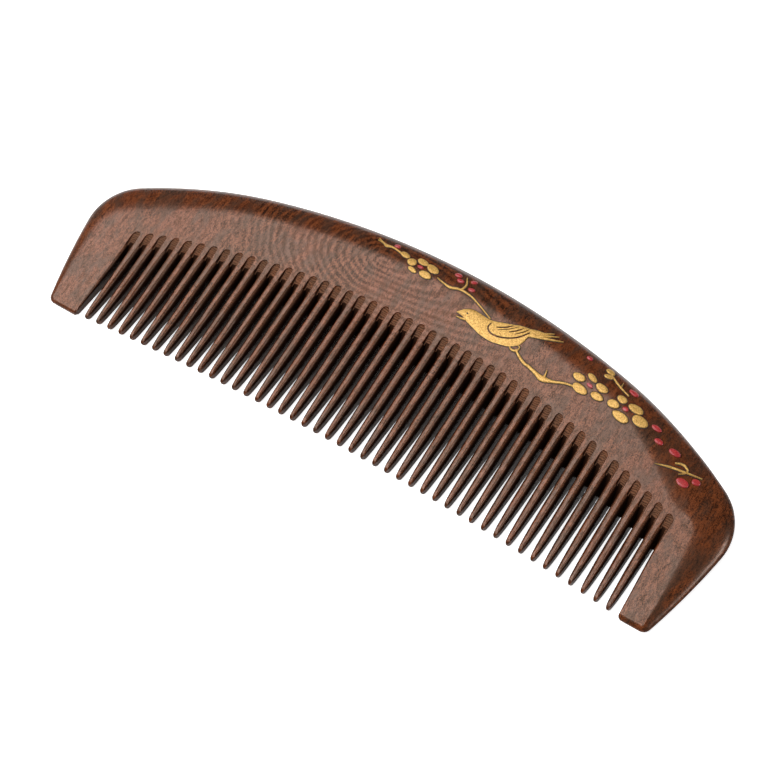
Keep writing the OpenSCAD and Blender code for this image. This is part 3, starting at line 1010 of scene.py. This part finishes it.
goldCoats = (gold, umber)
goldHeight = lacquer["goldHeight"]
branches = [stroke("twig", points, goldHeight, True) for points in twigs]
branches += [oval("twigBud", place, goldHeight, True, goldCoats) for place in twigBuds]
goldTwigs = joined(branches, "goldTwigs")
goldPetals = joined([oval("petal", place, goldHeight, True, goldCoats) for place in petals], "goldPetals")
redBuds = joined([oval("bud", place, lacquer["budHeight"], False, (red,)) for place in buds], "redBuds")

bodyLine = [(Vector((x, low)), Vector((x, high))) for x, low, high in smoothLine(birdBody, 3)]
bird = strip("bird", bodyLine, goldHeight, True)
for points in engraved:
    line = stroke("engraved", points, lacquer["engraverHeight"], False)
    darken(line)
    combine(bird, line, "DIFFERENCE")
bird = dropCrumbs(bird)
eye = oval("birdEye", birdEye, lacquer["eyeHeight"], False, goldCoats)
darken(eye)
plumes = [stroke("feather", points, goldHeight * lacquer["featherShare"], True) for points in feathers]
goldBird = joined([bird, eye] + plumes, "goldBird")
bpy.data.objects.remove(blank, do_unlink=True)
for piece in (goldTwigs, goldPetals, redBuds, goldBird):
    print(piece.name + ":", len(piece.data.polygons), "faces")


# Every piece is laid down with the comb, gets its smooth shading and stands for its part of the frame.
def finishPiece(piece, node, angle):
    piece.data.transform(layDown)
    pick(piece)
    bpy.ops.object.shade_smooth_by_angle(angle=math.radians(angle))
    bpy.ops.object.modifier_add(type="WEIGHTED_NORMAL")
    piece.modifiers[-1].keep_sharp = True
    bpy.ops.object.modifier_apply(modifier=piece.modifiers[-1].name)
    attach(piece, "root")
    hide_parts(node)


finishPiece(comb, "comb", 34)
finishPiece(goldTwigs, "gold_twigs", 40)
finishPiece(goldBird, "gold_bird", 40)
finishPiece(goldPetals, "gold_petals", 40)
finishPiece(redBuds, "red_buds", 40)

studio = {
    "floorSize": 60.0,
    "floorDrop": 0.00005,      # keeps the floor just clear of the comb's back
    "floorColour": (0.86, 0.86, 0.86, 1),
    "floorRoughness": 0.9,
    "floorGlow": 0.1,          # towards the comb
    "floorSeen": 0.9,          # towards the camera, which sees the ground white
    "worldLight": 0.12,
    "worldSeen": 1.0,
    "white": (1, 1, 1, 1),
    "cameraPlace": (0.1388, -0.15369, 0.339),
    "cameraTurn": (30.559, 5.307, 33.994),
    "lens": 85.94,
    "sensor": 36.0,
    "nearest": 0.01,           # where the camera's view starts
    # place, what it faces, width, height, power
    "softbox": ((-0.45, -0.22, 0.93), (0, 0, 0), 1.08, 1.0, 13.6),
    "sidePanel": ((-0.2, -0.2, 0.98), (0.05, 0, 0), 0.45, 0.95, 1.9),
    "sideStrip": ((0.88, 0.21, 0.54), (0.07, 0, 0), 0.5, 0.17, 2.4),
}


def makeFloor():
    bpy.ops.object.select_all(action="DESELECT")
    bpy.ops.mesh.primitive_plane_add(size=studio["floorSize"], location=(0, 0, -studio["floorDrop"]))
    floor = bpy.context.object
    floor.name = "floor"
    material, tree, shader = startMaterial("paleFloor")
    shader.inputs["Base Color"].default_value = studio["floorColour"]
    shader.inputs["Roughness"].default_value = studio["floorRoughness"]
    shader.inputs["Emission Color"].default_value = studio["white"]
    seen = tree.nodes.new("ShaderNodeLightPath").outputs["Is Camera Ray"]
    tree.links.new(spread(tree, seen, 0, 1, studio["floorGlow"], studio["floorSeen"]),
                   shader.inputs["Emission Strength"])
    dress(floor, material)


def makeLight(name, place, target, width, height, power):
    light = bpy.data.lights.new(name, "AREA")
    light.shape = "RECTANGLE"
    light.size, light.size_y, light.energy = width, height, power
    lamp = bpy.data.objects.new(name, light)
    lamp.location = place
    lamp.rotation_euler = (Vector(target) - Vector(place)).to_track_quat("-Z", "Y").to_euler()
    bpy.context.collection.objects.link(lamp)


def makeCamera():
    lens = bpy.data.cameras.new("camera")
    lens.sensor_width = lens.sensor_height = studio["sensor"]
    lens.lens = studio["lens"]
    lens.clip_start = studio["nearest"]
    camera = bpy.data.objects.new("camera", lens)
    camera.location = studio["cameraPlace"]
    camera.rotation_euler = [math.radians(turn) for turn in studio["cameraTurn"]]
    bpy.context.collection.objects.link(camera)
    bpy.context.scene.camera = camera


def makeWorld():
    world = bpy.data.worlds.new("studio")
    world.use_nodes = True
    tree = world.node_tree
    background = tree.nodes["Background"]
    background.inputs["Color"].default_value = studio["white"]
    seen = tree.nodes.new("ShaderNodeLightPath").outputs["Is Camera Ray"]
    tree.links.new(spread(tree, seen, 0, 1, studio["worldLight"], studio["worldSeen"]),
                   background.inputs["Strength"])
    bpy.context.scene.world = world


makeFloor()
makeLight("softbox", *studio["softbox"])
makeLight("sidePanel", *studio["sidePanel"])
makeLight("sideStrip", *studio["sideStrip"])
bpy.data.objects["sideStrip"].visible_diffuse = False
makeCamera()
makeWorld()
bpy.context.scene.view_settings.view_transform = "Standard"
print("studio ready")
